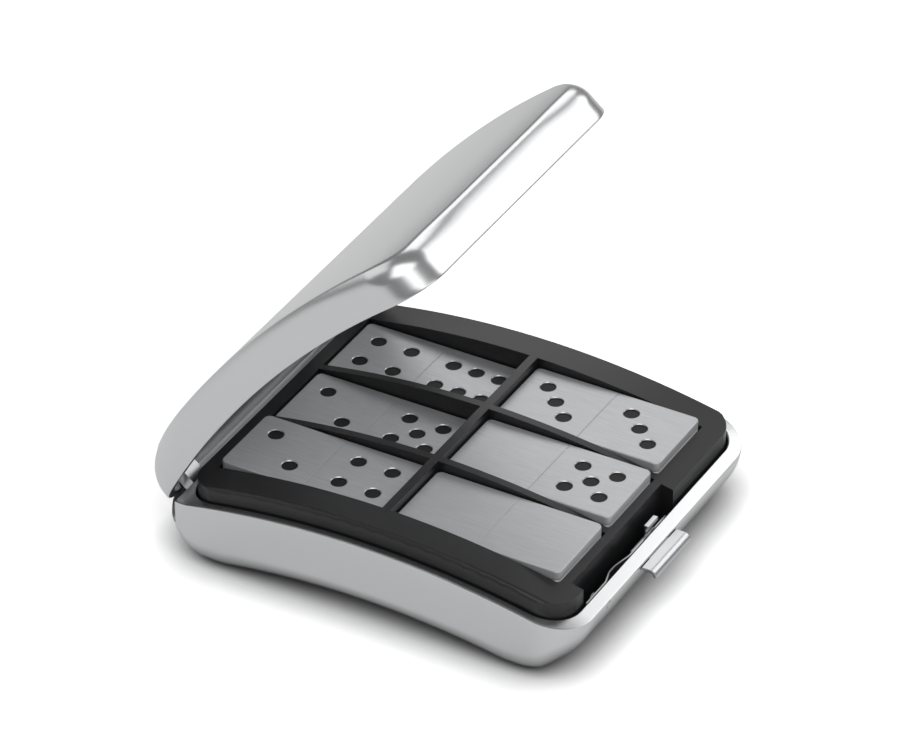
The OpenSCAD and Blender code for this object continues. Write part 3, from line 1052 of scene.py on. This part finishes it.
@dataclass
class Lid(ArchedShell):
    """The lid: upright walls, a rounding that stops at a crease round the roof, a rolled back.

    A roll is the rounding's radius and the angle in degrees that it turns through.
    """

    rim_r: float = 195.72
    fillet: float = 3.6
    walls: tuple[float, float, float] = (2.0, 3.0, 1.8)
    roof: float = 1.5
    top_r: float = 204.17
    roll_y: float = 39.64
    roll_z: float = 14.2826
    roll_r: float = 9.0
    axis_y: float = 44.96
    axis_z: float = 12.9363
    open_angle: float = 49.85
    tuck: float = 0.06
    side_roll: tuple[float, float] = (3.2, 52.0)
    bend_y: float = -38.5
    bend: float = 0.008
    front_roll: tuple[float, float] = (12.0, 31.0)
    front_corner: tuple[float, float] = (5.5, 52.0)
    back_corner: tuple[float, float] = (9.0, 78.3)
    corner_reach: float = 24.0
    corner_inset: float = 2.0
    crease: float = 0.22

    def back_turn(self) -> float:
        """Gives the arch's slope, as an angle, where the rolled back takes over from it."""
        return math.asin(self.roll_y / (self.top_r - self.roll_r))

    def skin_at(self, y: float, sink: float = 0.0) -> float:
        """Gives the roof's height: the arch, and past the turn the rolled back.

        Args:
            y: where, along the case.
            sink: how far below the outside.

        Returns:
            The height.
        """
        turn = self.back_turn()
        r = self.roll_r - sink
        if y <= self.roll_y + r * math.sin(turn):
            dip = self.bend * max(0.0, self.bend_y - y) ** 2
            return self.arch_at(self.top_r - sink, y) - dip
        return self.roll_z + math.sqrt(max(r * r - (y - self.roll_y) ** 2, 0.0))

    def roll_at(self, step: Step) -> tuple[float, float]:
        """Gives the rounding, which swells round the corners and rolls fully over at the back.

        Args:
            step: the step round the outside.

        Returns:
            Its radius, and its angle in degrees.
        """
        over = 90.0 - math.degrees(self.back_turn())
        end = (self.roll_r, over) if step.out_y > 0 else self.front_roll
        bulge = self.back_corner if step.y > 0 else self.front_corner
        gap = math.hypot(
            abs(step.x) - self.half_w + self.corner_inset,
            abs(step.y) - self.half_l + self.corner_inset,
        )
        close = max(0.0, 1 - gap / self.corner_reach)
        r, angle = (
            eased(eased(side, far, abs(step.out_y)), corner, close)
            for side, far, corner in zip(self.side_roll, end, bulge)
        )
        return (r, angle)

    def build(self) -> None:
        """Makes the lid, standing open."""
        lid = self.join("lid_case", self.outside(), self.inside(self.walls, self.roof))
        pin = Vector((0, self.axis_y * MM, self.axis_z * MM))
        lid.data.transform(
            Matrix.Translation(Vector((0, (self.set_y - self.tuck) * MM, 0)) + pin)
            @ Matrix.Rotation(-math.radians(self.open_angle), 4, "X")
            @ Matrix.Translation(-pin)
        )
        smooth(lid)
        stand_for(lid, "lid_shell", "lid")


@dataclass
class Base(ArchedShell):
    """The base: an arched tub with rolled ends, hollowed at the back for the lid's heel."""

    up: int = -1
    ease: float = 0.35
    under_r: float = 179.8
    end_y: float = 34.6927
    end_z: float = 13.85
    end_r: float = 14.0
    side_r: float = 5.5
    end_inset: float = 8.4
    floor: float = 1.5
    walls: tuple[float, float, float] = (2.0, 3.0, 6.43)
    axis: tuple[float, float] = (44.96, 12.9363)
    heel_r: float = 4.6
    heel_y: float = 43.46
    lug_x: float = 29.6
    lug_w: float = 5.2
    lug_r: float = 1.95
    catch_x: float = -3.4
    neck: tuple[float, float] = (8.24, 1.04)
    neck_z: float = 11.6363
    thumb_w: float = 15.14
    recess: float = 1.0
    rivet_x: float = -24.3
    rivet_d: float = 1.75
    rivet_depth: float = 6.0
    tool_sides: int = 64
    tool_past: float = 1.0
    tool_through: float = 4.0
    tool_clear: tuple[float, float] = (60.0, 9.0)

    def skin_at(self, y: float, sink: float = 0.0) -> float:
        """Gives the underside's height: the arch, and past the turn the rolled ends.

        Args:
            y: where, along the case.
            sink: how far inside the outer face.

        Returns:
            The height, which is never below the table.
        """
        y = abs(y)
        r = self.end_r - sink
        turn = math.asin(self.end_y / (self.under_r + self.end_r))
        if y <= self.end_y - r * math.sin(turn):
            return self.arch_at(self.under_r + sink, y)
        return max(self.end_z - math.sqrt(max(r * r - (y - self.end_y) ** 2, 0.0)), 0.0)

    def roll_at(self, step: Step) -> tuple[float, float]:
        """Gives the rounding, tight along the sides, that meets the underside without a crease.

        Args:
            step: the step round the outside.

        Returns:
            Its radius, and its angle in degrees.
        """
        inset = eased(self.side_r, self.end_inset, abs(step.out_y))
        y = step.y - step.out_y * inset
        rise = abs(self.skin_at(y + NEAR_MM) - self.skin_at(y - NEAR_MM)) / (2 * NEAR_MM)
        end = math.pi / 2 - math.atan(rise * abs(step.out_y))
        return (inset / (1 - math.cos(end)), math.degrees(end))

    def bar(self, middle: Point, r: float, length: float, lie: Lie) -> bpy.types.Object:
        """Adds a round bar to cut with.

        Args:
            middle: where its middle is.
            r: its radius.
            length: its length.
            lie: the way it lies.

        Returns:
            The bar.
        """
        clear_selection()
        turn = (0, math.pi / 2, 0) if lie is Lie.ACROSS else (math.pi / 2, 0, 0)
        bpy.ops.mesh.primitive_cylinder_add(
            vertices=self.tool_sides,
            radius=r * MM,
            depth=length * MM,
            location=[c * MM for c in middle],
            rotation=turn,
        )
        bpy.ops.object.transform_apply()
        return bpy.context.active_object

    def block(self, low: Point, high: Point) -> bpy.types.Object:
        """Adds a block to cut with.

        Args:
            low: its corner at the least x, y and z.
            high: the corner across from it.

        Returns:
            The block.
        """
        clear_selection()
        middle = [(a + b) / 2 * MM for a, b in zip(low, high)]
        bpy.ops.mesh.primitive_cube_add(size=1, location=middle)
        block = bpy.context.active_object
        block.scale = [(b - a) * MM for a, b in zip(low, high)]
        bpy.ops.object.transform_apply()
        return block

    def build(self) -> None:
        """Makes the base and cuts the hinge's and the catch's room from it."""
        base = self.join("base_case", self.outside(), self.inside(self.walls, self.floor))
        y, z = self.axis
        side, clear = self.tool_clear
        heel = self.bar((0, y, z), self.heel_r, 2 * self.half_w + self.tool_through, Lie.ACROSS)
        cut(heel, self.block((-side, y - clear, z - clear), (side, self.heel_y, z + clear)))
        wide, tall = self.neck
        low, high = self.neck_z - tall / 2, self.neck_z + tall / 2
        front = -self.half_l
        x, out = self.catch_x, front - self.tool_past
        rivet = (self.rivet_x, front + self.tool_past, self.neck_z)
        for tool in [
            self.bar(rivet, self.rivet_d / 2, self.rivet_depth, Lie.ALONG),
            *(
                self.bar((end * self.lug_x, y, z), self.lug_r, self.lug_w, Lie.ACROSS)
                for end in (-1, 1)
            ),
            heel,
            self.block((x - wide / 2, out, low), (x + wide / 2, front + self.tool_through, high)),
            self.block(
                (x - self.thumb_w / 2, out, low),
                (x + self.thumb_w / 2, front + self.recess, high),
            ),
        ]:
            cut(base, tool)
        base.data.transform(Matrix.Translation((0, self.set_y * MM, 0)))
        smooth(base)
        stand_for(base, "base_shell", "base")


# ---- the smaller pieces -------------------------------------------------------------------


@dataclass
class EasedPart:
    """A smaller piece whose CAD form is right as it is and only needs its edges eased."""

    node: str
    finish: bpy.types.Material
    body: str
    slot: str
    ease: float = 0.12

    def build(self, nodes: dict[str, bpy.types.Object]) -> None:
        """Copies the node, eases its edges and dresses it.

        Args:
            nodes: the CAD nodes by name.
        """
        piece = merged_copy(nodes[self.node], self.node + "_smooth")
        dress(piece, self.finish)
        ease_edges(piece, self.ease)
        smooth(piece)
        stand_for(piece, self.node, self.body)


@dataclass
class Hardware:
    """The pins, rivets, lugs, keeper and spring, which are shown as the CAD nodes they are."""

    finish: bpy.types.Material
    made_again: tuple[str, ...] = ("base_shell", "lid_shell", "tray")

    def build(self, nodes: dict[str, bpy.types.Object]) -> None:
        """Dresses each node that isn't made again in a finish of its own.

        Args:
            nodes: the CAD nodes by name.
        """
        for name, node in nodes.items():
            if name not in self.made_again and not name.startswith("domino"):
                dress(node, self.finish)
                LOG.info("dressed %s", name)


# ---- the box ------------------------------------------------------------------------------


def main() -> None:
    """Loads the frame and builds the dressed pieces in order."""
    logging.basicConfig(level=logging.INFO, format="%(message)s")
    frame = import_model()
    nodes = frame["nodes"]
    case = ChromedCasting("chromed_zinc_casting").build()
    plate = BrushedPlate("brushed_metal_plate").build()
    paint = PipPaint("dark_pip_enamel").build()
    plastic = MouldedPlastic("moulded_black_plastic").build()
    steel = PlainMetal("satin_steel").build()
    Hardware(steel).build(nodes)
    EasedPart("tray", plastic, "base", "tray_black", ease=0.55).build(nodes)
    EasedPart("latch_lever", steel, "latch", "case_chrome").build(nodes)
    EasedPart("hinge_leaf", steel, "base", "hinge_steel").build(nodes)
    Base(case).build()
    Lid(case).build()
    DominoSet(plate, paint, steel).build()
    Studio().build()


if __name__ == "__main__":
    main()
